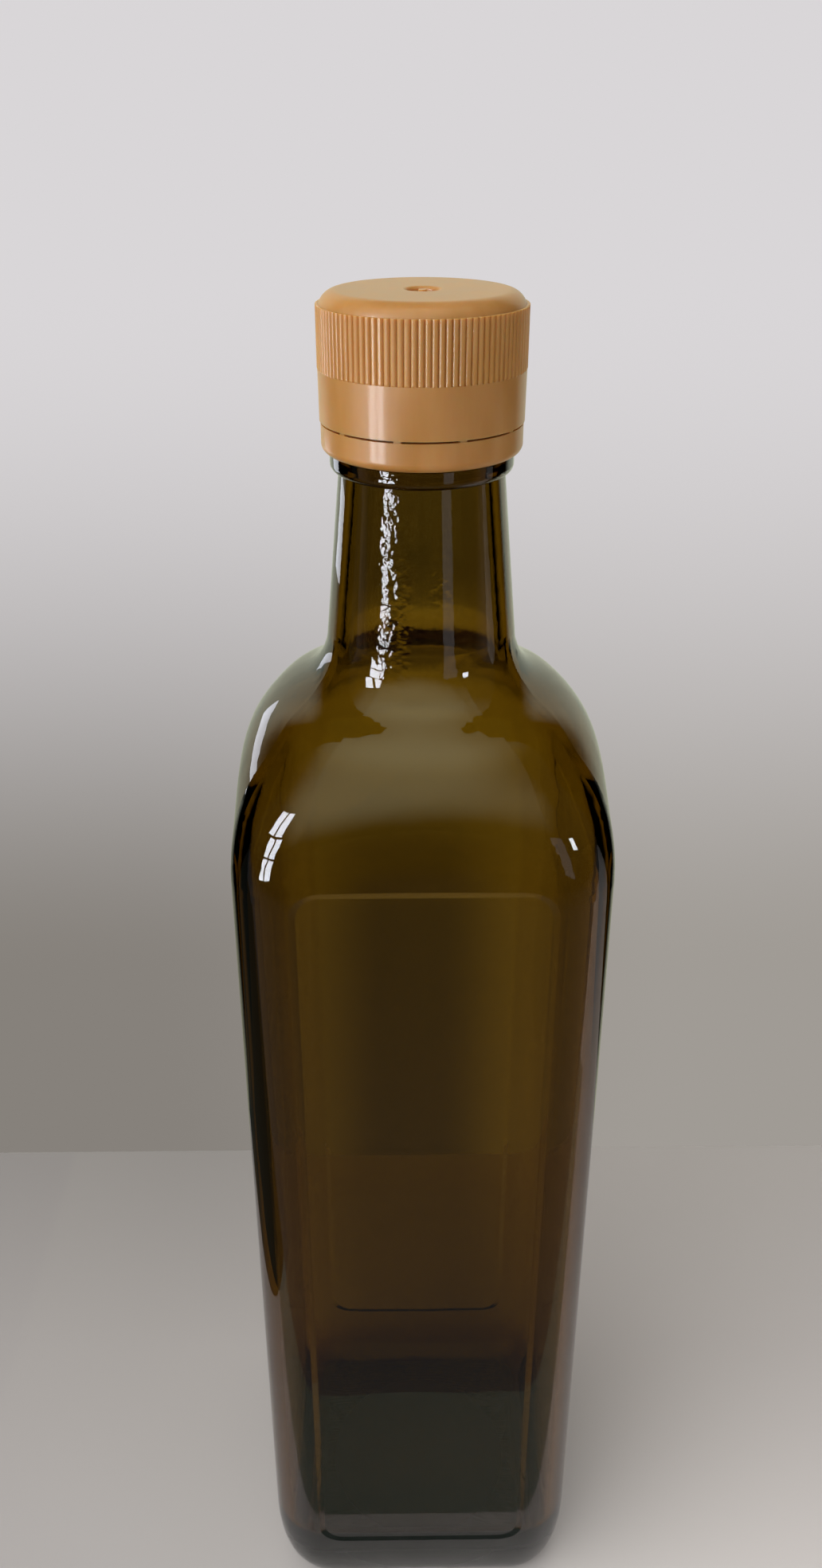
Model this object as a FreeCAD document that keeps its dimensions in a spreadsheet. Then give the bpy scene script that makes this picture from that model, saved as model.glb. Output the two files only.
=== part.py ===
import FreeCAD, Part

# Square glass bottle with a ribbed plastic cap and its tamper-evident ring.
# The glass stands on z = 0 with its axis on Z and a flat face toward -Y, in millimetres.
#
# The body is a square with rounded corners.  Its shoulder turns round on the way up to
# the neck: one upright curve leads up the middle of a face, another up a corner, and each
# section between them is one outline of four faces and four corners that meets both.
# The neck, the cap and the ring are turned profiles.

import math
import os

import Sketcher

os.makedirs("parts", exist_ok=True)

DRIVING_SIZES = {
    # glass body
    "body_width": 63.0,          # across the flats
    "corner_radius": 10.2,       # upright corners
    "straight_height": 179.1,    # from the table to where the corners start to turn in
    "heel_inset": 5.0,           # how far the foot draws in on each side
    "heel_height": 19.0,         # height over which it draws in
    "glass_wall": 3.0,
    "glass_floor": 7.0,
    "inner_heel_inset": 7.0,
    "inner_heel_height": 12.0,
    "punt_radius": 20.0,         # hollow under the base
    "punt_depth": 2.6,
    # label panel on each face
    "panel_width": 41.0,
    "panel_bottom": 17.5,
    "panel_rise": 1.9,           # how far it reaches past the straight height
    "panel_corner": 4.0,
    "panel_depth": 0.3,
    "panel_bevel": 1.2,          # width of the slope round the panel
    # shoulder: an outward arc, a straight slope, then an inward arc into the neck
    "face_shoulder_radius": 21.0,
    "face_slope": 56.5,          # degrees away from upright
    "corner_shoulder_radius": 24.3,
    "corner_slope": 53.6,
    "neck_root_radius": 9.9,     # inward arc, the same on faces and corners
    # neck and finish
    "neck_base_radius": 15.5,
    "neck_top_radius": 13.1,
    "neck_length": 26.3,
    "neck_wall": 2.7,
    "bead_reach": 0.8,           # how far the bead stands out from the finish
    "bead_height": 2.85,
    "bead_round": 1.2,
    "finish_radius": 13.6,
    "finish_wall": 3.0,
    "lip_round": 0.8,
    # cap
    "skirt_clearance": 0.25,     # between the finish and the plastic
    "seat_clearance": 0.2,       # between the lip and the roof
    "skirt_wall": 1.95,
    "skirt_draft": 0.08,         # how much the plain band widens upward
    "band_height": 7.65,
    "rib_count": 100.0,
    "rib_height": 9.2,
    "rib_proud": 0.07,           # crest of a rib beyond the band
    "rib_depth": 0.4,
    "rib_flank": 0.5,            # radius of a rib's rounded side
    "rib_land": 0.24,            # share of the pitch that stays plain on the crest
    "rib_bevel": 0.2,
    "crown_height": 1.95,
    "crown_ledge": 0.5,          # step in from the ribs to the crown
    "crown_inset": 2.6,          # how far the crown rolls in to its flat top
    "crown_round": 2.75,
    "roof_thickness": 1.9,
    "dimple_radius": 3.0,
    "dimple_depth": 0.6,
    "gate_radius": 0.6,          # moulding stub in the dimple
    "gate_height": 0.5,
    # tamper-evident ring
    "ring_clearance": 0.15,      # between the bead and the ring
    "ring_height": 4.4,
    "ring_wall": 1.8,
    "ring_round": 1.3,
    "score_gap": 0.35,           # slit between the ring and the cap
    "bridge_count": 10.0,
    "bridge_width": 1.1,
    "bridge_thickness": 0.7,
    "bridge_turn": 3.6,          # degrees from the X axis to the first bridge
}

HEEL_STEPS = 6
SHOULDER_STEPS = 14
HALVINGS = 40            # enough to find a share of roundness to the last digit
ROUND_FACE_ANGLE = 22.5  # half angle of a face once the outline is a full circle


# ------------------------------------------------------------------ sizes and the sheet

class Formula:
    """A number that carries the spreadsheet expression it comes from."""

    def __init__(self, value, text):
        self.value = value
        self.text = text

    def combined(self, sign, other, value):
        other_text = other.text if isinstance(other, Formula) else repr(float(other))
        return Formula(value, "(" + self.text + " " + sign + " " + other_text + ")")

    def __add__(self, other):
        return self.combined("+", other, self.value + number(other))

    def __sub__(self, other):
        return self.combined("-", other, self.value - number(other))

    def __mul__(self, other):
        return self.combined("*", other, self.value * number(other))

    def __truediv__(self, other):
        return self.combined("/", other, self.value / number(other))


def number(size):
    return size.value if isinstance(size, Formula) else float(size)


def sine(angle):
    return Formula(math.sin(math.radians(angle.value)), "sin(" + angle.text + " * 1 deg)")


def cosine(angle):
    return Formula(math.cos(math.radians(angle.value)), "cos(" + angle.text + " * 1 deg)")


def negative(size):
    return size * -1


class Sizes:
    """The driving sizes by name, each as a Formula on the sheet."""

    def __init__(self, sheet):
        for alias in DRIVING_SIZES:
            setattr(self, alias, Formula(float(sheet.get(alias)), "Sizes." + alias))


def make_sheet(document):
    sheet = document.addObject("Spreadsheet::Sheet", "Sizes")
    for row, (alias, value) in enumerate(DRIVING_SIZES.items(), start=1):
        sheet.set("A" + str(row), alias.replace("_", " "))
        sheet.set("B" + str(row), repr(value))
        sheet.setAlias("B" + str(row), alias)
    document.recompute()
    return sheet


# ---------------------------------------------------------------------------- sketches

def make_body(document, name):
    body = document.addObject("PartDesign::Body", name)
    body.Label = name
    return body


def origin_feature(body, role):
    for feature in body.Origin.OriginFeatures:
        if feature.Role == role:
            return feature
    raise RuntimeError("the body has no " + role)


def make_sketch(body, name, role):
    sketch = body.newObject("Sketcher::SketchObject", name)
    sketch.AttachmentSupport = [(origin_feature(body, role), "")]
    sketch.MapMode = "FlatFace"
    return sketch


def arc_between(start, end, radius):
    """Arc from start to end; a positive radius turns anticlockwise."""
    chord = end - start
    reach = math.sqrt(radius * radius - chord.Length * chord.Length / 4)
    side = FreeCAD.Vector(-chord.y, chord.x, 0).normalize()
    centre = (start + end) * 0.5 + side * math.copysign(reach, radius)
    circle = Part.Circle(centre, FreeCAD.Vector(0, 0, 1), abs(radius))
    first, last = (start, end) if radius > 0 else (end, start)
    return Part.ArcOfCircle(circle, circle.parameter(first), circle.parameter(last))


def draw_outline(sketch, corners):
    """Draw a closed outline that follows the sheet.

    Each corner is (x, y) for a line that leads to it, or (x, y, radius) for an arc.
    """
    points = [FreeCAD.Vector(number(x), number(y), 0) for x, y, *rest in corners]
    ends = []
    for index, corner in enumerate(corners):
        start, end = points[index - 1], points[index]
        if len(corner) == 2:
            sketch.addGeometry(Part.LineSegment(start, end), False)
            ends.append((1, 2))
        else:
            radius = number(corner[2])
            sketch.addGeometry(arc_between(start, end, radius), False)
            ends.append((1, 2) if radius > 0 else (2, 1))
    for index in range(len(corners)):
        before = index - 1 if index else len(corners) - 1
        sketch.addConstraint(Sketcher.Constraint(
            "Coincident", before, ends[before][1], index, ends[index][0]))
    for index, corner in enumerate(corners):
        place_point(sketch, index, ends[index][1], "DistanceX", corner[0], -2)
        place_point(sketch, index, ends[index][1], "DistanceY", corner[1], -1)
        if len(corner) == 3:
            add_size(sketch, ("Radius", index), corner[2])


def place_point(sketch, edge, end, kind, size, axis):
    if number(size) == 0:
        sketch.addConstraint(Sketcher.Constraint("PointOnObject", edge, end, axis))
    else:
        add_size(sketch, (kind, -1, 1, edge, end), size)


def add_size(sketch, constraint, size):
    value = number(size)
    text = size.text
    if constraint[0] == "Radius" and value < 0:
        value = -value
        text = "-" + text
    index = sketch.addConstraint(Sketcher.Constraint(*constraint, value))
    sketch.setExpression("Constraints[" + str(index) + "]", text)


def turn_profile(body, name, corners):
    """Revolve an outline of (radius, height) corners about Z."""
    sketch = make_sketch(body, name + "_profile", "XZ_Plane")
    draw_outline(sketch, corners)
    turned = body.newObject("PartDesign::Revolution", name)
    turned.Profile = sketch
    turned.ReferenceAxis = (sketch, ["V_Axis"])
    turned.Angle = 360
    return turned


def repeat_round(body, name, feature, count):
    """Repeat a feature about Z; count is a Formula."""
    pattern = body.newObject("PartDesign::PolarPattern", name)
    pattern.Originals = [feature]
    pattern.Axis = (origin_feature(body, "Z_Axis"), [""])
    pattern.Angle = 360
    pattern.setExpression("Occurrences", count.text)
    body.Tip = pattern
    return pattern


# --------------------------------------------------------------------------- the glass

class ShoulderCurve:
    """Upright curve from the body in to the neck: outward arc, slope, inward arc."""

    def __init__(self, body_reach, neck_reach, arc_radius, slope, root_radius):
        self.body_reach = body_reach
        self.neck_reach = neck_reach
        self.arc_radius = arc_radius
        self.slope = slope
        self.root_radius = root_radius
        both = arc_radius + root_radius
        slant = (body_reach - neck_reach - both + both * cosine(slope)) / sine(slope)
        self.height = both * sine(slope) + slant * cosine(slope)

    def reach(self, below):
        """Distance from the axis at a depth below the neck."""
        angle = math.radians(number(self.slope))
        neck, root = number(self.neck_reach), number(self.root_radius)
        body, arc = number(self.body_reach), number(self.arc_radius)
        risen = number(self.height) - below
        if risen <= 0:
            return body
        if risen <= arc * math.sin(angle):
            return body - arc + math.sqrt(arc * arc - risen * risen)
        if below >= root * math.sin(angle):
            slanted = (below - root * math.sin(angle)) * math.tan(angle)
            return neck + root * (1 - math.cos(angle)) + slanted
        return neck + root - math.sqrt(root * root - below * below)


class Skin:
    """One skin of the glass, the outer or the inner, from the base up to the neck."""

    def __init__(self, sizes, wall, neck_radius):
        self.half_width = sizes.body_width / 2 - wall
        self.corner_radius = sizes.corner_radius - wall
        self.neck_radius = neck_radius
        self.straight_height = sizes.straight_height
        corner_reach = ((self.half_width - self.corner_radius) * math.sqrt(2)
                        + self.corner_radius)
        root_radius = sizes.neck_root_radius + wall
        self.face = ShoulderCurve(self.half_width, neck_radius,
                                  sizes.face_shoulder_radius - wall,
                                  sizes.face_slope, root_radius)
        self.corner = ShoulderCurve(corner_reach, neck_radius,
                                    sizes.corner_shoulder_radius - wall,
                                    sizes.corner_slope, root_radius)
        if self.face.height.value > self.corner.height.value:
            raise RuntimeError("the faces would turn in below the corners")

    def neck_base(self):
        return self.straight_height + self.corner.height

    def part_round(self, share):
        """Corner radius and face angle at a share of the way from square to circle."""
        start, end = number(self.corner_radius), number(self.neck_radius)
        return start + share * (end - start), share * ROUND_FACE_ANGLE

    def roundness(self, half_width, corner_reach):
        """Share of the way from square to circle at which the corners reach that far."""
        low, high = 0.0, 1.0
        for _ in range(HALVINGS):
            share = (low + high) / 2
            corner_radius, face_angle = self.part_round(share)
            centre = corner_centre(half_width, corner_radius, face_angle)
            if centre * math.sqrt(2) + corner_radius > corner_reach:
                low = share
            else:
                high = share
        return (low + high) / 2

    def shoulder_wires(self):
        """Outlines that turn from the rounded square of the body into a circle."""
        rise, top = number(self.corner.height), number(self.neck_base())
        wires = [glass_outline(number(self.half_width), number(self.corner_radius), 0,
                               top - rise)]
        for step in range(1, SHOULDER_STEPS):
            below = rise * (1 - step / SHOULDER_STEPS)
            half_width = self.face.reach(below)
            share = self.roundness(half_width, self.corner.reach(below))
            wires.append(glass_outline(half_width, *self.part_round(share), top - below))
        neck_radius = number(self.neck_radius)
        wires.append(glass_outline(neck_radius, neck_radius, ROUND_FACE_ANGLE, top))
        return wires

    def heel_wires(self, inset, floor, height):
        """Outlines that draw in toward the base along a quarter of an ellipse."""
        wires = []
        for step in range(HEEL_STEPS + 1):
            angle = math.radians(90 * step / HEEL_STEPS)
            drawn_in = number(inset) * (1 - math.sin(angle))
            wires.append(glass_outline(number(self.half_width) - drawn_in,
                                       number(self.corner_radius) - drawn_in / 2, 0,
                                       number(floor) + number(height) * (1 - math.cos(angle))))
        return wires


def corner_centre(half_width, corner_radius, face_angle):
    """How far the centre of a corner's arc is from the axis, along X and along Y."""
    bend = math.radians(face_angle)
    if bend == 0:
        return half_width - corner_radius
    lean = math.cos(bend) - math.sin(bend)
    face_radius = (half_width - lean * corner_radius) / (1 - lean)
    return (face_radius - corner_radius) * math.sin(bend)


def glass_outline(half_width, corner_radius, face_angle, height):
    """Four faces and four corners in one smooth outline.

    face_angle is the half angle that each face bends through: nothing on the flat body,
    and ROUND_FACE_ANGLE once the faces and the corners have become one circle.
    """
    bend = math.radians(face_angle)
    centre = corner_centre(half_width, corner_radius, face_angle)
    bisector = (centre + corner_radius * math.sqrt(0.5)) * FreeCAD.Vector(1, 1, 0)
    first = FreeCAD.Vector(centre + corner_radius * math.cos(bend),
                           centre + corner_radius * math.sin(bend), 0)
    last = FreeCAD.Vector(first.y, first.x, 0)
    start = FreeCAD.Vector(first.x, -first.y, 0)
    if bend:
        face = Part.Arc(start, FreeCAD.Vector(half_width, 0, 0), first).toShape()
    else:
        face = Part.makeLine(start, first)
    corner = Part.Arc(first, bisector, last).toShape()
    edges = []
    for quarter in range(4):
        for edge in (face, corner):
            turned = edge.copy()
            turned.rotate(FreeCAD.Vector(0, 0, 0), FreeCAD.Vector(0, 0, 1), 90 * quarter)
            turned.translate(FreeCAD.Vector(0, 0, height))
            edges.append(turned)
    return Part.Wire(edges)


def add_shape(document, name, shape):
    feature = document.addObject("Part::Feature", name)
    feature.Shape = shape
    return feature


def make_glass_body(document, name, skin, inset, floor, height):
    """Heel, straight sides and shoulder of one skin, as three solids."""
    heel = skin.heel_wires(inset, floor, height)
    shoulder = skin.shoulder_wires()
    return [add_shape(document, name + "_heel", Part.makeLoft(heel, True, False)),
            add_shape(document, name + "_sides", Part.makeLoft([heel[-1], shoulder[0]], True, True)),
            add_shape(document, name + "_shoulder", Part.makeLoft(shoulder, True, False))]


def make_neck(document, sizes, levels):
    """Neck, bead and finish of the outer skin."""
    bead_radius = sizes.finish_radius + sizes.bead_reach
    body = make_body(document, "neck_outside")
    turn_profile(body, "neck_turned", [
        (0, levels.neck_base),
        (sizes.neck_base_radius, levels.neck_base),
        (sizes.neck_top_radius, levels.bead_bottom),
        (bead_radius - sizes.bead_round, levels.bead_bottom),
        (bead_radius, levels.bead_bottom + sizes.bead_round, sizes.bead_round),
        (bead_radius, levels.bead_top),
        (sizes.finish_radius, levels.bead_top),
        (sizes.finish_radius, levels.lip - sizes.lip_round),
        (sizes.finish_radius - sizes.lip_round, levels.lip, sizes.lip_round),
        (0, levels.lip),
    ])
    return body


def make_bore(document, sizes, levels):
    """Bore of the neck, from the inner shoulder out through the lip."""
    mouth_radius = sizes.finish_radius - sizes.finish_wall
    body = make_body(document, "neck_bore")
    turn_profile(body, "bore_turned", [
        (0, levels.bore_base),
        (sizes.neck_base_radius - sizes.neck_wall, levels.bore_base),
        (sizes.neck_top_radius - sizes.neck_wall, levels.bead_bottom),
        (mouth_radius, levels.bead_top),
        (mouth_radius, levels.lip + sizes.lip_round),
        (0, levels.lip + sizes.lip_round),
    ])
    return body


def make_punt(document, sizes):
    """Ball whose cap hollows the underside of the base."""
    radius = (sizes.punt_radius * sizes.punt_radius
              + sizes.punt_depth * sizes.punt_depth) / sizes.punt_depth / 2
    ball = document.addObject("Part::Sphere", "punt")
    ball.setExpression("Radius", radius.text)
    ball.setExpression("Placement.Base.z", (sizes.punt_depth - radius).text)
    return ball


def panel_outline(sizes, margin, depth):
    """Rounded rectangle at a depth under the face that looks along -Y."""
    half = number(sizes.panel_width) / 2 + margin
    bottom = number(sizes.panel_bottom) - margin
    top = number(sizes.straight_height + sizes.panel_rise) + margin
    corner = number(sizes.panel_corner) + margin
    y = depth - number(sizes.body_width) / 2
    edges = []
    quadrants = [(half - corner, top - corner, 0), (corner - half, top - corner, 90),
                 (corner - half, bottom + corner, 180), (half - corner, bottom + corner, 270)]
    points = []
    for x, z, turn in quadrants:
        arc = []
        for angle in (turn, turn + 45, turn + 90):
            arc.append(FreeCAD.Vector(x + corner * math.cos(math.radians(angle)), y,
                                      z + corner * math.sin(math.radians(angle))))
        points.append(arc)
    for index, arc in enumerate(points):
        edges.append(Part.Arc(*arc).toShape())
        edges.append(Part.makeLine(arc[2], points[(index + 1) % 4][0]))
    return Part.Wire(edges)


def make_panels(document, sizes):
    """Shallow hollows with sloping edges, one on each face."""
    bevel, depth = number(sizes.panel_bevel), number(sizes.panel_depth)
    tool = Part.makeLoft([panel_outline(sizes, 2 * bevel, -depth),
                          panel_outline(sizes, 0, depth)], True, True)
    panels = []
    for face in range(4):
        panel = add_shape(document, "panel_" + str(face + 1), tool)
        panel.Placement = FreeCAD.Placement(
            FreeCAD.Vector(0, 0, 0), FreeCAD.Rotation(FreeCAD.Vector(0, 0, 1), 90 * face))
        panels.append(panel)
    return panels


def join(document, name, pieces):
    fused = document.addObject("Part::MultiFuse", name)
    fused.Shapes = pieces
    return fused


def make_bottle(document, sizes, levels, outer, inner):
    outside = make_glass_body(document, "outside", outer,
                              sizes.heel_inset, 0, sizes.heel_height)
    inside = make_glass_body(document, "inside", inner, sizes.inner_heel_inset,
                             sizes.glass_floor, sizes.inner_heel_height)
    solid = join(document, "glass_solid", outside + [make_neck(document, sizes, levels)])
    hollows = join(document, "glass_hollows", inside + [make_bore(document, sizes, levels),
                                                        make_punt(document, sizes)]
                   + make_panels(document, sizes))
    bottle = document.addObject("Part::Cut", "bottle")
    bottle.Base = solid
    bottle.Tool = hollows
    bottle.Label = "bottle"
    return bottle


# --------------------------------------------------------------------- cap and its ring

class Levels:
    """Heights that the glass and the plastic share, from the neck upward."""

    def __init__(self, sizes, outer, inner):
        self.neck_base = outer.neck_base()
        self.bore_base = inner.neck_base()
        self.bead_bottom = self.neck_base + sizes.neck_length
        self.bead_top = self.bead_bottom + sizes.bead_height
        self.ring_bottom = self.bead_top + sizes.ring_clearance
        self.ring_top = self.ring_bottom + sizes.ring_height
        self.cap_bottom = self.ring_top + sizes.score_gap
        self.rib_foot = self.cap_bottom + sizes.band_height
        self.rib_top = self.rib_foot + sizes.rib_height
        self.cap_top = self.rib_top + sizes.crown_height
        self.roof = self.cap_top - sizes.roof_thickness
        self.lip = self.roof - sizes.seat_clearance


def make_cap(document, sizes, levels):
    bore = sizes.finish_radius + sizes.skirt_clearance
    band = bore + sizes.skirt_wall
    crest = band + sizes.skirt_draft + sizes.rib_proud
    crown = crest - sizes.crown_ledge
    dimple_floor = levels.cap_top - sizes.dimple_depth
    cap = make_body(document, "cap")
    turn_profile(cap, "cap_turned", [
        (bore, levels.cap_bottom),
        (band, levels.cap_bottom),
        (band + sizes.skirt_draft, levels.rib_foot),
        (crest, levels.rib_foot + sizes.rib_bevel),
        (crest, levels.rib_top),
        (crown, levels.rib_top),
        (crown - sizes.crown_inset, levels.cap_top, sizes.crown_round),
        (sizes.dimple_radius, levels.cap_top),
        (sizes.dimple_radius - sizes.dimple_depth, dimple_floor, sizes.dimple_depth),
        (sizes.gate_radius, dimple_floor),
        (sizes.gate_radius, dimple_floor + sizes.gate_height),
        (0, dimple_floor + sizes.gate_height),
        (0, levels.roof),
        (bore, levels.roof),
    ])
    cut_grooves(document, cap, sizes, levels, crest)
    return cap


def cut_grooves(document, cap, sizes, levels, crest):
    """Cut the grooves between the ribs: one groove with rounded sides, repeated round."""
    half_pitch = crest * math.pi / sizes.rib_count
    half_groove = half_pitch - half_pitch * sizes.rib_land
    clear = crest + sizes.rib_depth
    sketch = make_sketch(cap, "groove_outline", "XY_Plane")
    sketch.setExpression("AttachmentOffset.Base.z", levels.rib_top.text)
    draw_outline(sketch, [
        (half_groove, crest, negative(sizes.rib_flank)),
        (half_groove, clear),
        (negative(half_groove), clear),
        (negative(half_groove), crest),
        (0, crest - sizes.rib_depth, negative(sizes.rib_flank)),
    ])
    document.recompute()
    before = cap.Shape.Volume
    groove = cap.newObject("PartDesign::Pocket", "groove")
    groove.Profile = sketch
    groove.setExpression("Length", sizes.rib_height.text)
    document.recompute()
    if groove.Shape.Volume >= before:
        raise RuntimeError("the groove cuts nothing")
    repeat_round(cap, "grooves", groove, sizes.rib_count)


def make_ring(document, sizes, levels):
    """Ring left on the neck when the cap is opened, with the bridges that tear."""
    bore = sizes.finish_radius + sizes.skirt_clearance
    outside = bore + sizes.ring_wall
    ring = make_body(document, "tamper_ring")
    turn_profile(ring, "ring_turned", [
        (bore, levels.ring_bottom),
        (outside - sizes.ring_round, levels.ring_bottom),
        (outside, levels.ring_bottom + sizes.ring_round, sizes.ring_round),
        (outside, levels.ring_top),
        (bore, levels.ring_top),
    ])
    sketch = make_sketch(ring, "bridge_outline", "XY_Plane")
    sketch.setExpression("AttachmentOffset.Base.z", levels.ring_top.text)
    sketch.setExpression("AttachmentOffset.Rotation.Angle", sizes.bridge_turn.text + " * 1 deg")
    half = sizes.bridge_width / 2
    outer_end = outside - sizes.skirt_draft
    inner_end = outer_end - sizes.bridge_thickness
    draw_outline(sketch, [
        (outer_end, negative(half)),
        (outer_end, half),
        (inner_end, half),
        (inner_end, negative(half)),
    ])
    document.recompute()
    bridge = ring.newObject("PartDesign::Pad", "bridge")
    bridge.Profile = sketch
    bridge.setExpression("Length", sizes.score_gap.text)
    document.recompute()
    repeat_round(ring, "bridges", bridge, sizes.bridge_count)
    return ring


# ----------------------------------------------------------------------------- the part

def check(document, nodes):
    for thing in document.Objects:
        if "Invalid" in thing.State or "Error" in thing.State:
            raise RuntimeError(thing.Name + " failed: " + ", ".join(thing.State))
    for node in nodes:
        if node.Shape.isNull() or not node.Shape.isValid():
            raise RuntimeError(node.Label + " has no valid shape")
        if len(node.Shape.Solids) != 1:
            raise RuntimeError(node.Label + " is not one solid")


def main():
    document = FreeCAD.newDocument("SquareBottle")
    sizes = Sizes(make_sheet(document))
    outer = Skin(sizes, 0, sizes.neck_base_radius)
    inner = Skin(sizes, sizes.glass_wall, sizes.neck_base_radius - sizes.neck_wall)
    levels = Levels(sizes, outer, inner)
    nodes = [make_bottle(document, sizes, levels, outer, inner),
             make_cap(document, sizes, levels),
             make_ring(document, sizes, levels)]
    document.recompute()
    check(document, nodes)
    for node in nodes:
        node.Shape.exportStep("parts/" + node.Label + ".step")
        box = node.Shape.BoundBox
        print(node.Label, "volume", round(node.Shape.Volume), "mm3, height",
              round(box.ZMin, 2), "to", round(box.ZMax, 2))


main()
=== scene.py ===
import math

import bpy
from bpy.props import FloatProperty, FloatVectorProperty, PointerProperty
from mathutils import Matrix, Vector


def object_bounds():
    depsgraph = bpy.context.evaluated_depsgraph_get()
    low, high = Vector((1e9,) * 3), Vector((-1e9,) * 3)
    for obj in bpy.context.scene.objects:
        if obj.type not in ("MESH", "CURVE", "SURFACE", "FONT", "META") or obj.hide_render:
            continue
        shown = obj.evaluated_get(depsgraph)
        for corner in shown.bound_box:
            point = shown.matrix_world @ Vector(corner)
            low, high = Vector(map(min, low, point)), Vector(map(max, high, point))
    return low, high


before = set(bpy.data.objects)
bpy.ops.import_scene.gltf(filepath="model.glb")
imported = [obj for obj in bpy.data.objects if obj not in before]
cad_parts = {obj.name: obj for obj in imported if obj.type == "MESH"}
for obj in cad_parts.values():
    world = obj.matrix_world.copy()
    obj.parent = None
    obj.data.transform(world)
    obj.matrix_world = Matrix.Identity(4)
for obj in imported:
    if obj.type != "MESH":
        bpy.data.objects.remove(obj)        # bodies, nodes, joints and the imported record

bl_info = {
    "name": "Square Glass Bottle",
    "version": (1, 0, 0),
    "blender": (4, 5, 0),
    "location": "3D View > Sidebar > Bottle",
    "description": "Gives the square bottle its glass, its moulded cap and a studio to stand in",
    "category": "Object",
}

CAD_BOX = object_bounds()
MM = 0.001
ROOM = 6.0                    # the table, the backdrop and the flags run this far out
SIDE_FADE = 80 * MM           # within this of the middle, table and backdrop change sideways

# settings that several shader nodes share
SMOOTH = {"interpolation_type": "SMOOTHSTEP"}
COLOURS = {"data_type": "RGBA"}
MULTIPLY = {"operation": "MULTIPLY"}
ABSOLUTE = {"operation": "ABSOLUTE"}
DOT_PRODUCT = {"operation": "DOT_PRODUCT"}


def linear(hex_colour):
    """An sRGB hex colour as linear red, green and blue."""
    channels = []
    for start in (1, 3, 5):
        value = int(hex_colour[start:start + 2], 16) / 255
        channels.append(value / 12.92 if value <= 0.04045 else ((value + 0.055) / 1.055) ** 2.4)
    return tuple(channels)


# ---------------------------------------------------------------------------- settings

class GlassSettings(bpy.types.PropertyGroup):
    tint: FloatVectorProperty(
        name="Tint", description="Colour that the glass lets through", subtype="COLOR",
        size=3, min=0, max=1, default=linear("#DECE5E"))
    depth: FloatProperty(
        name="Depth", description="How strongly the glass absorbs, per metre",
        default=1000.0, min=0)
    wave_spacing: FloatProperty(
        name="Wave spacing", description="Distance between the slow waves of the blown faces",
        default=16 * MM, unit="LENGTH", precision=4)
    wave_height: FloatProperty(
        name="Wave height", description="Height of the slow waves",
        default=0.05 * MM, unit="LENGTH", precision=6)
    ripple_spacing: FloatProperty(
        name="Ripple spacing", description="Distance between the chill ripples on the neck",
        default=1.4 * MM, unit="LENGTH", precision=4)
    ripple_height: FloatProperty(
        name="Ripple height", description="Height of the chill ripples on the neck",
        default=0.26 * MM, unit="LENGTH", precision=6)
    ripple_side: FloatProperty(
        name="Ripple side", description="Turn from the front to the rippled strip of the neck",
        default=math.radians(-18), subtype="ANGLE")
    ripple_core: FloatProperty(
        name="Ripple core", description="Half the width of the strip at its full height",
        default=math.radians(5), min=0, subtype="ANGLE")
    ripple_edge: FloatProperty(
        name="Ripple edge", description="Half the width of the strip with its faded edges",
        default=math.radians(13), min=0, subtype="ANGLE")
    neck_foot: FloatProperty(
        name="Neck foot", description="Height at which the shoulder becomes the neck",
        default=214.6 * MM, unit="LENGTH", precision=4)


class CapSettings(bpy.types.PropertyGroup):
    colour: FloatVectorProperty(
        name="Colour", description="Colour of the moulded plastic", subtype="COLOR",
        size=3, min=0, max=1, default=linear("#B27D38"))
    pale: FloatVectorProperty(
        name="Pale streaks", description="Colour where the plastic flowed thin", subtype="COLOR",
        size=3, min=0, max=1, default=linear("#C08C4E"))
    streak_spacing: FloatProperty(
        name="Streak spacing", description="Distance between the pale streaks",
        default=6 * MM, unit="LENGTH", precision=4)
    roughness: FloatProperty(
        name="Roughness", description="Roughness of the moulded skin",
        default=0.46, min=0, max=1, subtype="FACTOR")
    grain_spacing: FloatProperty(
        name="Grain spacing", description="Size of the fine grain of the mould",
        default=0.5 * MM, unit="LENGTH", precision=5)
    grain_height: FloatProperty(
        name="Grain height", description="Depth of the fine grain of the mould",
        default=0.002 * MM, unit="LENGTH", precision=6)


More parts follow.
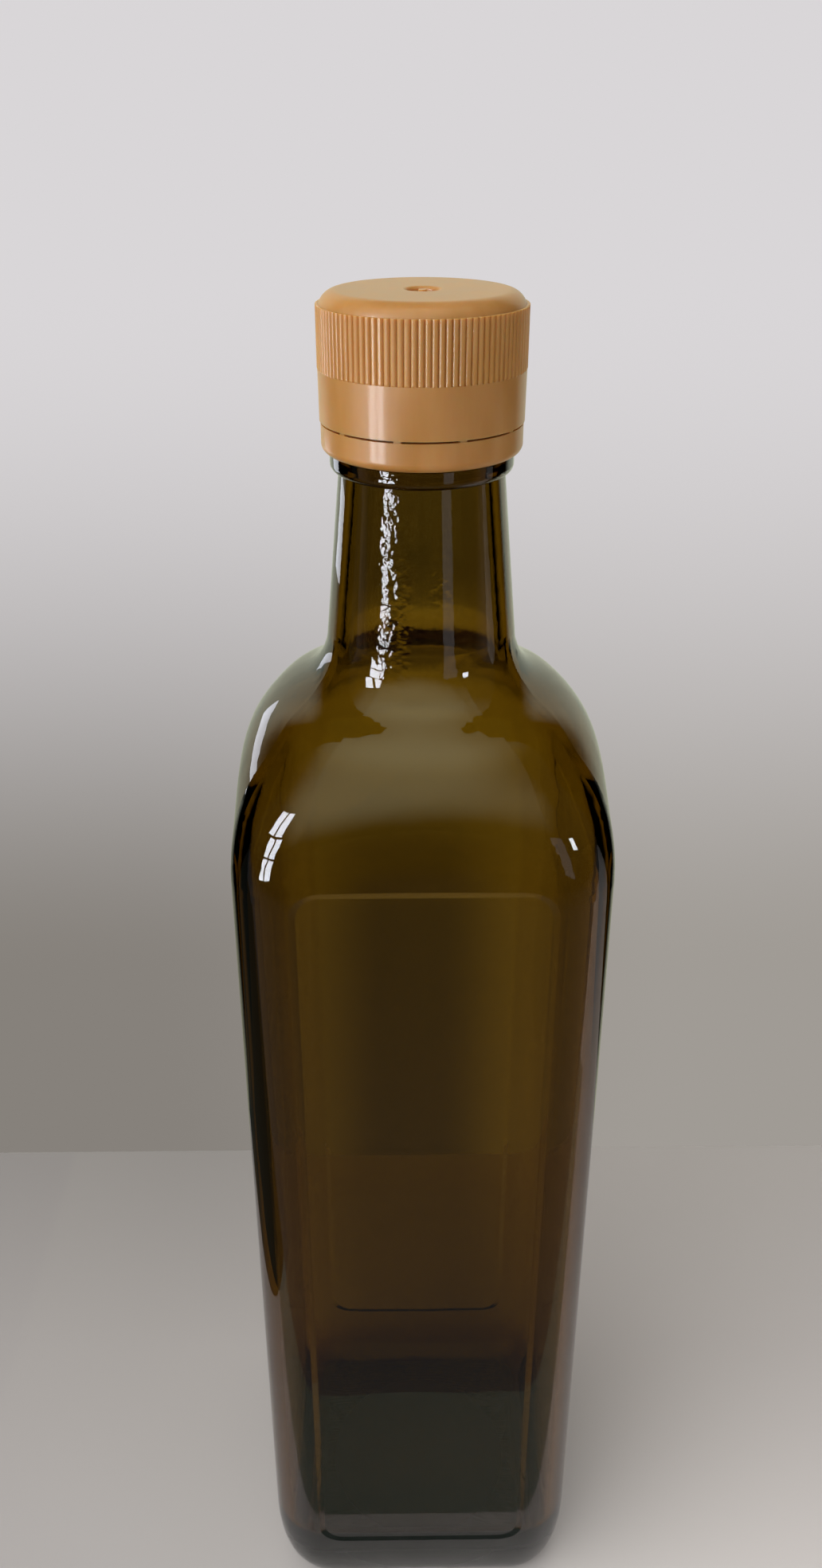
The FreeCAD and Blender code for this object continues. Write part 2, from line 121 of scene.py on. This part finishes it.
class StageSettings(bpy.types.PropertyGroup):
    floor_colour: FloatVectorProperty(
        name="Floor", description="Colour of the table top", subtype="COLOR",
        size=3, min=0, max=1, default=linear("#D2CCC7"))
    wall_top: FloatVectorProperty(
        name="Wall, high", description="Colour of the backdrop at the bottle's top",
        subtype="COLOR", size=3, min=0, max=1, default=linear("#D9D6D8"))
    # painted shade: the backdrop's foot is darker than its top, and darker to the left than to
    # the right
    wall_shaded_left: FloatVectorProperty(
        name="Wall, low left", description="Colour of the backdrop's foot, to the left",
        subtype="COLOR", size=3, min=0, max=1, default=linear("#86817B"))
    wall_shaded_right: FloatVectorProperty(
        name="Wall, low right", description="Colour of the backdrop's foot, to the right",
        subtype="COLOR", size=3, min=0, max=1, default=linear("#A09B95"))
    daylight: FloatVectorProperty(
        name="Daylight", description="Colour of the windows' light", subtype="COLOR",
        size=3, min=0, max=1, default=linear("#F2F6FF"))
    wall_distance: FloatProperty(
        name="Wall distance", description="From the bottle's axis back to the backdrop",
        default=104 * MM, unit="LENGTH", precision=4)
    table_reach: FloatProperty(
        name="Table reach", description="From the bottle's axis forward to the table's edge",
        default=79 * MM, unit="LENGTH", precision=4)
    eye: FloatVectorProperty(
        name="Camera", description="Where the camera stands", subtype="TRANSLATION",
        size=3, default=(-4.32 * MM, -205.56 * MM, 294.4 * MM), precision=4)
    tilt: FloatProperty(
        name="Tilt", description="How far the camera looks down",
        default=math.radians(28.07), subtype="ANGLE")
    heading: FloatProperty(
        name="Heading", description="How far the camera turns left of straight on",
        default=math.radians(-0.73), subtype="ANGLE")
    lens: FloatProperty(
        name="Lens", description="Focal length of the camera, in millimetres",
        default=30.23, min=1)


class BottleSettings(bpy.types.PropertyGroup):
    glass: PointerProperty(type=GlassSettings)
    cap: PointerProperty(type=CapSettings)
    stage: PointerProperty(type=StageSettings)


# --------------------------------------------------------------------- material helpers

def new_material(name):
    """A material with nothing but its output; returns the material, tree and output."""
    material = bpy.data.materials.new(name)
    material.use_nodes = True
    tree = material.node_tree
    tree.nodes.clear()
    return material, tree, tree.nodes.new("ShaderNodeOutputMaterial")


def add_node(tree, kind, settings=None, **links):
    """Add a node; settings are its own, links are values or sockets for its inputs.

    An input is named by its label in lower case with _ for spaces, or as in0, in1 and
    so on where labels repeat.
    """
    node = tree.nodes.new(kind)
    for name, value in (settings or {}).items():
        setattr(node, name, value)
    for name, value in links.items():
        if name[:2] == "in" and name[2:].isdigit():
            socket = node.inputs[int(name[2:])]
        else:
            socket = next(s for s in node.inputs if s.name.lower().replace(" ", "_") == name)
        if isinstance(value, bpy.types.NodeSocket):
            tree.links.new(value, socket)
        else:
            socket.default_value = value
    return node


def dress(node_name, material):
    """Give a CAD node one material."""
    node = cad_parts[node_name]
    node.data.materials.clear()
    node.data.materials.append(material)


# ---------------------------------------------------------------------------- materials

def antique_green_glass_mould_blown(settings):
    """Antique green soda-lime glass, blown in a mould.

    The tint is in the depth of the glass, so walls seen edge on go black and thin ones
    go gold.  Blowing leaves slow waves on the faces.  Where the neck met the cold halves
    of the mould first it has two strips of close chill ripples, opposite each other.
    Real ripples are finer and lower: these are drawn as coarse as they need to show.
    """
    material, tree, output = new_material("Antique green glass, mould blown")
    place = add_node(tree, "ShaderNodeTexCoord").outputs["Object"]
    parts = add_node(tree, "ShaderNodeSeparateXYZ", vector=place).outputs

    forward = add_node(tree, "ShaderNodeMath", MULTIPLY, in0=parts["Y"], in1=-1.0)
    turn = add_node(tree, "ShaderNodeMath", {"operation": "ARCTAN2"}, in0=parts["X"],
                    in1=forward.outputs[0])
    from_strip = add_node(tree, "ShaderNodeMath", {"operation": "SUBTRACT"},
                          in0=turn.outputs[0], in1=settings.ripple_side)
    # half a turn on, the same strip again
    either_side = add_node(tree, "ShaderNodeMath", {"operation": "WRAP"},
                           in0=from_strip.outputs[0], in1=math.pi / 2, in2=-math.pi / 2)
    away = add_node(tree, "ShaderNodeMath", ABSOLUTE, in0=either_side.outputs[0])
    outside_strip = 0.04          # this much of the ripples' height is left there
    strip = add_node(tree, "ShaderNodeMapRange", SMOOTH, in0=away.outputs[0],
                     from_min=settings.ripple_edge, from_max=settings.ripple_core,
                     to_min=outside_strip, to_max=1.0)
    fade_below, fade_above = 6 * MM, 2 * MM
    height = add_node(tree, "ShaderNodeMapRange", SMOOTH, in0=parts["Z"],
                      from_min=settings.neck_foot - fade_below,
                      from_max=settings.neck_foot + fade_above)
    in_strip = add_node(tree, "ShaderNodeMath", MULTIPLY, in0=strip.outputs[0],
                        in1=height.outputs[0])

    waves = add_node(tree, "ShaderNodeTexNoise", vector=place,
                     scale=1 / settings.wave_spacing, detail=1.0, roughness=0.4)
    ripples = add_node(tree, "ShaderNodeTexNoise", vector=place,
                       scale=1 / settings.ripple_spacing, detail=1.5, roughness=0.5)
    ripple_part = add_node(tree, "ShaderNodeMath", MULTIPLY, in0=ripples.outputs[0],
                           in1=in_strip.outputs[0])
    slow = add_node(tree, "ShaderNodeBump", strength=1.0, distance=settings.wave_height,
                    height=waves.outputs[0])
    fine = add_node(tree, "ShaderNodeBump", strength=1.0, distance=settings.ripple_height,
                    height=ripple_part.outputs[0], normal=slow.outputs[0])
    shader = add_node(tree, "ShaderNodeBsdfPrincipled", base_color=(1, 1, 1, 1),
                      roughness=0.0, ior=1.52, transmission_weight=1.0,
                      normal=fine.outputs[0])
    depth = add_node(tree, "ShaderNodeVolumeAbsorption", color=(*settings.tint, 1),
                     density=settings.depth)
    tree.links.new(shader.outputs[0], output.inputs["Surface"])
    tree.links.new(depth.outputs[0], output.inputs["Volume"])
    return material


def tan_polypropylene_injection_moulded(settings):
    """Tan polypropylene, injection moulded.

    The mould leaves a soft sheen with a fine grain, and the melt leaves faint upright
    streaks of paler colour.  Light goes a little way in, so edges never look hard.  The
    real grain is too fine to show, so it is drawn coarser.
    """
    material, tree, output = new_material("Tan polypropylene, injection moulded")
    place = add_node(tree, "ShaderNodeTexCoord").outputs["Object"]
    # streaks are four times as tall as they are wide
    upright = add_node(tree, "ShaderNodeMapping", vector=place, scale=(1, 1, 1 / 4))
    flow = add_node(tree, "ShaderNodeTexNoise", vector=upright.outputs[0],
                    scale=1 / settings.streak_spacing, detail=3.0, roughness=0.55)
    share = add_node(tree, "ShaderNodeMapRange", in0=flow.outputs[0],
                     from_min=0.35, from_max=0.75)
    colour = add_node(tree, "ShaderNodeMix", COLOURS, in0=share.outputs[0],
                      in6=(*settings.colour, 1), in7=(*settings.pale, 1))
    smoother, rougher = 0.05, 0.06
    rubbed = add_node(tree, "ShaderNodeMapRange", in0=flow.outputs[0], from_min=0.3,
                      from_max=0.7, to_min=settings.roughness - smoother,
                      to_max=settings.roughness + rougher)
    grain = add_node(tree, "ShaderNodeTexNoise", vector=place,
                     scale=1 / settings.grain_spacing, detail=2.0)
    skin = add_node(tree, "ShaderNodeBump", strength=1.0, distance=settings.grain_height,
                    height=grain.outputs[0])
    shader = add_node(tree, "ShaderNodeBsdfPrincipled", base_color=colour.outputs[2],
                      roughness=rubbed.outputs[0], ior=1.49, subsurface_weight=0.85,
                      subsurface_radius=(1.0, 0.5, 0.2), subsurface_scale=2.5 * MM,
                      specular_ior_level=0.5, coat_weight=0.35, coat_roughness=0.14,
                      normal=skin.outputs[0])
    tree.links.new(shader.outputs[0], output.inputs["Surface"])
    return material


def grey_laminate_pressed(settings):
    """Pale grey laminate, pressed.

    A satin table top that shows a weak reflection.  Through the glass it is seen with
    the soft shade that the bottle throws on the strip behind it.
    """
    material, tree, output = new_material("Pale grey laminate, pressed")
    place = add_node(tree, "ShaderNodeTexCoord").outputs["Object"]
    parts = add_node(tree, "ShaderNodeSeparateXYZ", vector=place).outputs
    cloud_size = 125 * MM
    cloud = add_node(tree, "ShaderNodeTexNoise", vector=place, scale=1 / cloud_size,
                     detail=2.0)
    mottle = add_node(tree, "ShaderNodeMapRange", in0=cloud.outputs[0], to_min=0.97,
                      to_max=1.03)

    # painted light and shade: a little paler toward the front and toward the right, darker
    # toward the backdrop
    front_light_from = -60 * MM
    front = add_node(tree, "ShaderNodeMapRange", SMOOTH, in0=parts["Y"], from_min=front_light_from,
                     from_max=settings.wall_distance, to_min=1.06, to_max=0.8)
    right = add_node(tree, "ShaderNodeMapRange", SMOOTH, in0=parts["X"],
                     from_min=-SIDE_FADE, from_max=SIDE_FADE, to_min=0.82, to_max=1.16)
    painted_light = add_node(tree, "ShaderNodeMath", MULTIPLY, in0=front.outputs[0],
                    in1=right.outputs[0])
    even = add_node(tree, "ShaderNodeMath", MULTIPLY, in0=mottle.outputs[0],
                    in1=painted_light.outputs[0])

    shade_core, shade_edge, darkest = 10 * MM, 45 * MM, 0.6
    across = add_node(tree, "ShaderNodeMath", ABSOLUTE, in0=parts["X"])
    shade = add_node(tree, "ShaderNodeMapRange", SMOOTH, in0=across.outputs[0],
                     from_min=shade_core, from_max=shade_edge, to_min=darkest, to_max=1.0)
    through = add_node(tree, "ShaderNodeLightPath").outputs["Is Transmission Ray"]
    shaded = add_node(tree, "ShaderNodeMix", in0=through, in2=1.0, in3=shade.outputs[0])
    level = add_node(tree, "ShaderNodeMath", MULTIPLY, in0=even.outputs[0],
                     in1=shaded.outputs[0])
    colour = add_node(tree, "ShaderNodeVectorMath", {"operation": "SCALE"},
                      in0=settings.floor_colour, scale=level.outputs[0])
    shader = add_node(tree, "ShaderNodeBsdfPrincipled", base_color=colour.outputs[0],
                      roughness=0.32)
    tree.links.new(shader.outputs[0], output.inputs["Surface"])
    return material


def pale_board_painted(settings):
    """Pale board, painted: the backdrop, which glows evenly, with painted shade that darkens it
    toward its foot, more to the left.

    It shines at the level of its paint, so it needs no lamps of its own, and through the
    glass it is seen with the soft shade that the bottle would throw on it.  Seen from
    behind it is clear, so the bottle can be looked at from every side.
    """
    shaded_below, lit_above = 67 * MM, 257 * MM          # grey below, pale above
    chest_low, chest_high = 90 * MM, 140 * MM           # the shade lifts between these
    neck_low, neck_high = 160 * MM, 190 * MM            # and falls again between these
    chest_shade, neck_shade = 0.42, 0.24
    shade_core, chest_reach, neck_reach = 8 * MM, 32 * MM, 160 * MM
    mirror_high, mirror_top = 330 * MM, 400 * MM        # reflections lose it between these
    mirror_wide, mirror_end = 110 * MM, 170 * MM
    mirror_tint = (1.06, 1.15, 0.9)

    material, tree, output = new_material("Pale board, painted")
    place = add_node(tree, "ShaderNodeTexCoord").outputs["Object"]
    parts = add_node(tree, "ShaderNodeSeparateXYZ", vector=place).outputs
    rays = add_node(tree, "ShaderNodeLightPath").outputs
    # painted shade: darker at the foot, most of all to the left, growing paler upward to full
    # light
    turn = add_node(tree, "ShaderNodeMapRange", SMOOTH, in0=parts["X"],
                    from_min=-SIDE_FADE, from_max=SIDE_FADE)
    foot = add_node(tree, "ShaderNodeMix", COLOURS, in0=turn.outputs[0],
                    in6=(*settings.wall_shaded_left, 1), in7=(*settings.wall_shaded_right, 1))
    rise = add_node(tree, "ShaderNodeMapRange", SMOOTH, in0=parts["Z"],
                    from_min=shaded_below, from_max=lit_above)
    colour = add_node(tree, "ShaderNodeMix", COLOURS, in0=rise.outputs[0],
                      in6=foot.outputs[2], in7=(*settings.wall_top, 1))

    # the bottle's shade: darkest behind the neck, and palest behind the shoulder
    above = add_node(tree, "ShaderNodeMapRange", SMOOTH, in0=parts["Z"],
                     from_min=chest_low, from_max=chest_high, to_min=chest_shade,
                     to_max=1.0)
    high_up = add_node(tree, "ShaderNodeMapRange", SMOOTH, in0=parts["Z"],
                       from_min=neck_low, from_max=neck_high, to_min=1.0,
                       to_max=neck_shade)
    least = add_node(tree, "ShaderNodeMath", MULTIPLY, in0=above.outputs[0],
                     in1=high_up.outputs[0])
    reach = add_node(tree, "ShaderNodeMapRange", SMOOTH, in0=parts["Z"],
                     from_min=neck_low, from_max=neck_high, to_min=chest_reach,
                     to_max=neck_reach)
    across = add_node(tree, "ShaderNodeMath", ABSOLUTE, in0=parts["X"])
    shade = add_node(tree, "ShaderNodeMapRange", SMOOTH, in0=across.outputs[0],
                     from_min=shade_core, from_max=reach.outputs[0],
                     to_min=least.outputs[0], to_max=1.0)
    shaded = add_node(tree, "ShaderNodeMix", in0=rays["Is Transmission Ray"], in2=1.0,
                      in3=shade.outputs[0])

    # painted reflection: reflections show the board no higher and no wider than this, and
    # greener
    high = add_node(tree, "ShaderNodeMapRange", SMOOTH, in0=parts["Z"],
                    from_min=mirror_top, from_max=mirror_high)
    wide = add_node(tree, "ShaderNodeMapRange", SMOOTH, in0=across.outputs[0],
                    from_min=mirror_end, from_max=mirror_wide)
    seen = add_node(tree, "ShaderNodeMath", MULTIPLY, in0=high.outputs[0],
                    in1=wide.outputs[0])
    mirrored = add_node(tree, "ShaderNodeMix", in0=rays["Is Glossy Ray"], in2=1.0,
                        in3=seen.outputs[0])
    greener = add_node(tree, "ShaderNodeVectorMath", MULTIPLY, in0=colour.outputs[2],
                       in1=mirror_tint)
    tinted = add_node(tree, "ShaderNodeMix", COLOURS, in0=rays["Is Glossy Ray"],
                      in6=colour.outputs[2], in7=greener.outputs[0])
    strength = add_node(tree, "ShaderNodeMath", MULTIPLY, in0=shaded.outputs[0],
                        in1=mirrored.outputs[0])
    paint = add_node(tree, "ShaderNodeEmission", color=tinted.outputs[2],
                     strength=strength.outputs[0])
    clear = add_node(tree, "ShaderNodeBsdfTransparent")
    back = add_node(tree, "ShaderNodeNewGeometry").outputs["Backfacing"]
    sides = add_node(tree, "ShaderNodeMixShader", in0=back, in1=paint.outputs[0],
                     in2=clear.outputs[0])
    tree.links.new(sides.outputs[0], output.inputs["Surface"])
    return material


def painted_dark_room(settings):
    """Dark room, painted shade: a glowing dark sheet that stands in for the dark room, a little
    less dark near the table.
    """
    material, tree, output = new_material("Dark room, painted shade")
    darkest_from = -400 * MM
    place = add_node(tree, "ShaderNodeTexCoord").outputs["Object"]
    ahead = add_node(tree, "ShaderNodeSeparateXYZ", vector=place).outputs["Y"]
    strength = add_node(tree, "ShaderNodeMapRange", in0=ahead, from_min=darkest_from,
                        from_max=-settings.table_reach, to_min=0.02, to_max=0.15)
    light = add_node(tree, "ShaderNodeEmission", color=(*settings.daylight, 1),
                     strength=strength.outputs[0])
    tree.links.new(light.outputs[0], output.inputs["Surface"])
    return material


def plain_card(name, colour, strength, cover=1.0):
    """A card of one colour that glows: painted shade with next to no light, or a lit window.

    A cover below 1 mixes in clear, which lets that much less of the card be seen.
    """
    material, tree, output = new_material(name)
    light = add_node(tree, "ShaderNodeEmission", color=(*colour, 1), strength=strength)
    clear = add_node(tree, "ShaderNodeBsdfTransparent")
    weave = add_node(tree, "ShaderNodeMixShader", in0=cover, in1=clear.outputs[0],
                     in2=light.outputs[0])
    tree.links.new(weave.outputs[0], output.inputs["Surface"])
    return material


# -------------------------------------------------------------------------- stage parts

def make_sheet(name, corners, material, faces=(range(4),)):
    """A flat piece of the stage, with four corners unless its faces are given."""
    mesh = bpy.data.meshes.new(name)
    mesh.from_pydata(corners, [], faces)
    mesh.materials.append(material)
    sheet = bpy.data.objects.new(name, mesh)
    bpy.context.scene.collection.objects.link(sheet)
    return sheet


def level_corners(left, right, front, back, height):
    """The corners of a level sheet, going round it."""
    return [(left, front, height), (right, front, height), (right, back, height),
            (left, back, height)]


def hide_but_in_gloss(card, through_glass=False):
    """Let only reflections show a card, or also the view through the glass."""
    card.visible_camera = card.visible_diffuse = False
    card.visible_transmission = through_glass
    card.visible_shadow = card.visible_volume_scatter = False


def point_on_sphere(centre, radius, azimuth, elevation):
    """The point in a direction, in degrees: azimuth 0 is to the front, elevation is up."""
    around, up = math.radians(azimuth), math.radians(elevation)
    return Vector(centre) + radius * Vector((math.sin(around) * math.cos(up),
                                             -math.cos(around) * math.cos(up), math.sin(up)))


def make_window(name, columns, rows, radius, centre, material):
    """A window's panes; columns and rows are (from, to) in degrees as seen from centre."""
    corners, faces = [], []
    for left, right in columns:
        for low, high in rows:
            faces.append(range(len(corners), len(corners) + 4))
            for turn, rise in ((left, low), (right, low), (right, high), (left, high)):
                corners.append(point_on_sphere(centre, radius, turn, rise))
    hide_but_in_gloss(make_sheet(name, corners, material, faces))


def make_flags(stage):
    """Dark cards of painted shade just above the table, which the glass mirrors in place of a
    dark room.
    """
    lift = 0.5 * MM
    front = -stage.table_reach
    left = -105 * MM
    shade_right_edge, shade_back_edge = 200 * MM, 1.5 * CAD_BOX[0][1]
    room_shade = painted_dark_room(stage)
    # painted shade in reflections: part clear, so the glass shows the pale table through it,
    # dimmer and greener
    reflection_shade = plain_card("Front reflection, painted shade", linear("#7CFFCB"), 0.1, cover=0.62)
    hide_but_in_gloss(make_sheet(
        "front_flag", level_corners(-ROOM, ROOM, -ROOM, front, lift), room_shade))
    hide_but_in_gloss(make_sheet(
        "front_net", level_corners(left, shade_right_edge, front, shade_back_edge, lift), reflection_shade))
    # painted shade: a dark card to the left, seen in reflections and through the glass
    left_side_shade = plain_card("Left side, painted shade", linear("#F4FFE7"), 0.04)
    hide_but_in_gloss(make_sheet(
        "left_flag", level_corners(-ROOM, left, front, ROOM, lift), left_side_shade),
        through_glass=True)


def make_windows(stage, centre):
    """The lit panes and curtains that make the bottle's highlights."""
    far, near = 0.6, 0.25          # from the centre, in metres
    # daylight fills a window's glass, less of it a door's, and it glows through a curtain
    daylit = plain_card("Window glass, daylit", stage.daylight, 18)
    dusk = plain_card("Door glass, dim", stage.daylight, 0.55)
    curtain = plain_card("Curtain, backlit", stage.daylight, 3)
    for name, columns, rows, radius, card in (
            ("window_left", [(-60, -52.5), (-50.5, -43)], [(-14.5, -1), (0.5, 14)], far, daylit),
            ("window_left_top", [(-65, -57), (-55, -46)], [(15.5, 33)], far, daylit),
            ("window_right", [(48, 54)], [(4, 12)], far, daylit),
            ("curtain_right", [(117, 122)], [(0, 13)], near, curtain),
            ("door", [(25, 38)], [(-14, 12)], far, dusk)):
        make_window(name, columns, rows, radius, centre, card)

    # painted highlight: a glowing strip on the backdrop, seen only in reflections, lower at its
    # left end
    left, right, before_wall = -155 * MM, -90 * MM, stage.wall_distance - 1 * MM
    low, slope, height = 176 * MM, 14 * MM, 26 * MM
    hide_but_in_gloss(make_sheet("curtain_left", [
        (left, before_wall, low), (right, before_wall, low + slope),
        (right, before_wall, low + slope + height), (left, before_wall, low + height)],
        curtain))


def make_lamp(name, place, target, size, power):
    """A square soft box aimed at a point."""
    lamp = bpy.data.lights.new(name, "AREA")
    lamp.shape = "SQUARE"
    lamp.size = size
    lamp.energy = power
    holder = bpy.data.objects.new(name, lamp)
    holder.location = place
    holder.rotation_euler = (Vector(target) - Vector(place)).to_track_quat("-Z", "Y").to_euler()
    holder.visible_camera = holder.visible_glossy = False
    bpy.context.scene.collection.objects.link(holder)


def make_world():
    """A neutral room.

    It lights matt things softly, from the window's side most, and is pale where it is
    seen.  Polished things show it as dark, with a soft patch of ceiling in front and a
    paler strip overhead.
    """
    patch = point_on_sphere(Vector(), 1.0, -10, 54)
    patch_core, patch_edge = math.radians(14), math.radians(50)
    window_side = point_on_sphere(Vector(), 1.0, -68, 8)
    backdrop_level = 0.7
    room_light, mirrored_light = linear("#FCFDFF"), linear("#F4FFDF")

    world = bpy.data.worlds.new("Room")
    world.use_nodes = True
    tree = world.node_tree
    tree.nodes.clear()
    rays = add_node(tree, "ShaderNodeLightPath").outputs
    way = add_node(tree, "ShaderNodeTexCoord").outputs["Generated"]
    near = add_node(tree, "ShaderNodeVectorMath", DOT_PRODUCT, in0=way, in1=patch)
    ceiling = add_node(tree, "ShaderNodeMapRange", SMOOTH, in0=near.outputs["Value"],
                       from_min=math.cos(patch_edge), from_max=math.cos(patch_core),
                       to_min=0.03, to_max=1.05)
    up = add_node(tree, "ShaderNodeSeparateXYZ", vector=way).outputs["Z"]
    overhead = add_node(tree, "ShaderNodeMapRange", SMOOTH, in0=up, from_min=0.7,
                        from_max=0.95, to_max=0.45)
    mirrored = add_node(tree, "ShaderNodeMath", {"operation": "ADD"},
                        in0=ceiling.outputs[0], in1=overhead.outputs[0])
    seen = add_node(tree, "ShaderNodeMath", {"operation": "MAXIMUM"},
                    in0=rays["Is Camera Ray"], in1=rays["Is Transmission Ray"])
    toward = add_node(tree, "ShaderNodeVectorMath", DOT_PRODUCT, in0=way, in1=window_side)
    soft = add_node(tree, "ShaderNodeMapRange", SMOOTH, in0=toward.outputs["Value"],
                    from_min=-0.35, from_max=1.0, to_min=0.12, to_max=1.95)
    plain = add_node(tree, "ShaderNodeMix", in0=seen.outputs[0], in2=soft.outputs[0],
                     in3=backdrop_level)
    strength = add_node(tree, "ShaderNodeMix", in0=rays["Is Glossy Ray"],
                        in2=plain.outputs[0], in3=mirrored.outputs[0])
    colour = add_node(tree, "ShaderNodeMix", COLOURS, in0=rays["Is Glossy Ray"],
                      in6=(*room_light, 1), in7=(*mirrored_light, 1))
    light = add_node(tree, "ShaderNodeBackground", color=colour.outputs[2],
                     strength=strength.outputs[0])
    output = add_node(tree, "ShaderNodeOutputWorld")
    tree.links.new(light.outputs[0], output.inputs["Surface"])
    bpy.context.scene.world = world


def make_camera(stage):
    """The camera, close to the bottle and looking down at it."""
    camera = bpy.data.cameras.new("camera")
    camera.lens = stage.lens
    camera.clip_start = 10 * MM
    holder = bpy.data.objects.new("camera", camera)
    holder.location = stage.eye
    holder.rotation_euler = (math.pi / 2 - stage.tilt, 0, stage.heading)
    bpy.context.scene.collection.objects.link(holder)
    bpy.context.scene.camera = holder


# ---------------------------------------------------------------------------- operators

class BOTTLE_OT_glass(bpy.types.Operator):
    """Dress the square bottle in antique green glass"""
    bl_idname = "bottle.glass"
    bl_label = "Glass Bottle"

    def execute(self, context):
        settings = context.scene.square_bottle.glass
        dress("bottle", antique_green_glass_mould_blown(settings))
        return {"FINISHED"}


class BOTTLE_OT_closure(bpy.types.Operator):
    """Dress the ribbed cap and its tamper-evident ring in moulded plastic"""
    bl_idname = "bottle.closure"
    bl_label = "Cap and Ring"

    def execute(self, context):
        plastic = tan_polypropylene_injection_moulded(context.scene.square_bottle.cap)
        dress("cap", plastic)
        dress("tamper_ring", plastic)
        return {"FINISHED"}


class BOTTLE_OT_stage(bpy.types.Operator):
    """Set up the table, the backdrop, the lights and the camera"""
    bl_idname = "bottle.stage"
    bl_label = "Stage"

    def execute(self, context):
        stage = context.scene.square_bottle.stage
        wall = stage.wall_distance
        shoulder = Vector((0, 0, 200 * MM))
        make_sheet("floor", level_corners(-ROOM, ROOM, -ROOM, ROOM, 0),
                   grey_laminate_pressed(stage))
        make_sheet("backdrop", [(-ROOM, wall, 0), (ROOM, wall, 0), (ROOM, wall, ROOM),
                                (-ROOM, wall, ROOM)], pale_board_painted(stage))
        make_flags(stage)
        make_windows(stage, shoulder)
        make_lamp("key", point_on_sphere(shoulder, 1.0, -58, 28), shoulder, size=1.1,
                  power=2.2)
        make_lamp("top", (0.0, -0.3, 1.2), shoulder, size=0.9, power=0.6)
        make_world()
        make_camera(stage)
        context.scene.view_settings.view_transform = "Standard"
        return {"FINISHED"}


class BOTTLE_PT_panel(bpy.types.Panel):
    """Buttons and settings of the bottle, in the sidebar"""
    bl_idname = "BOTTLE_PT_panel"
    bl_label = "Square Glass Bottle"
    bl_space_type = "VIEW_3D"
    bl_region_type = "UI"
    bl_category = "Bottle"

    def draw(self, context):
        settings = context.scene.square_bottle
        for group, operator in ((settings.glass, BOTTLE_OT_glass),
                                (settings.cap, BOTTLE_OT_closure),
                                (settings.stage, BOTTLE_OT_stage)):
            column = self.layout.box().column()
            for name in group.__annotations__:
                column.prop(group, name)
            column.operator(operator.bl_idname)


CLASSES = (GlassSettings, CapSettings, StageSettings, BottleSettings, BOTTLE_OT_glass,
           BOTTLE_OT_closure, BOTTLE_OT_stage, BOTTLE_PT_panel)


def register():
    for thing in CLASSES:
        bpy.utils.register_class(thing)
    bpy.types.Scene.square_bottle = PointerProperty(type=BottleSettings)


def unregister():
    del bpy.types.Scene.square_bottle
    for thing in reversed(CLASSES):
        bpy.utils.unregister_class(thing)


def main():
    register()
    bpy.ops.bottle.glass()
    bpy.ops.bottle.closure()
    bpy.ops.bottle.stage()


if __name__ == "__main__":
    main()
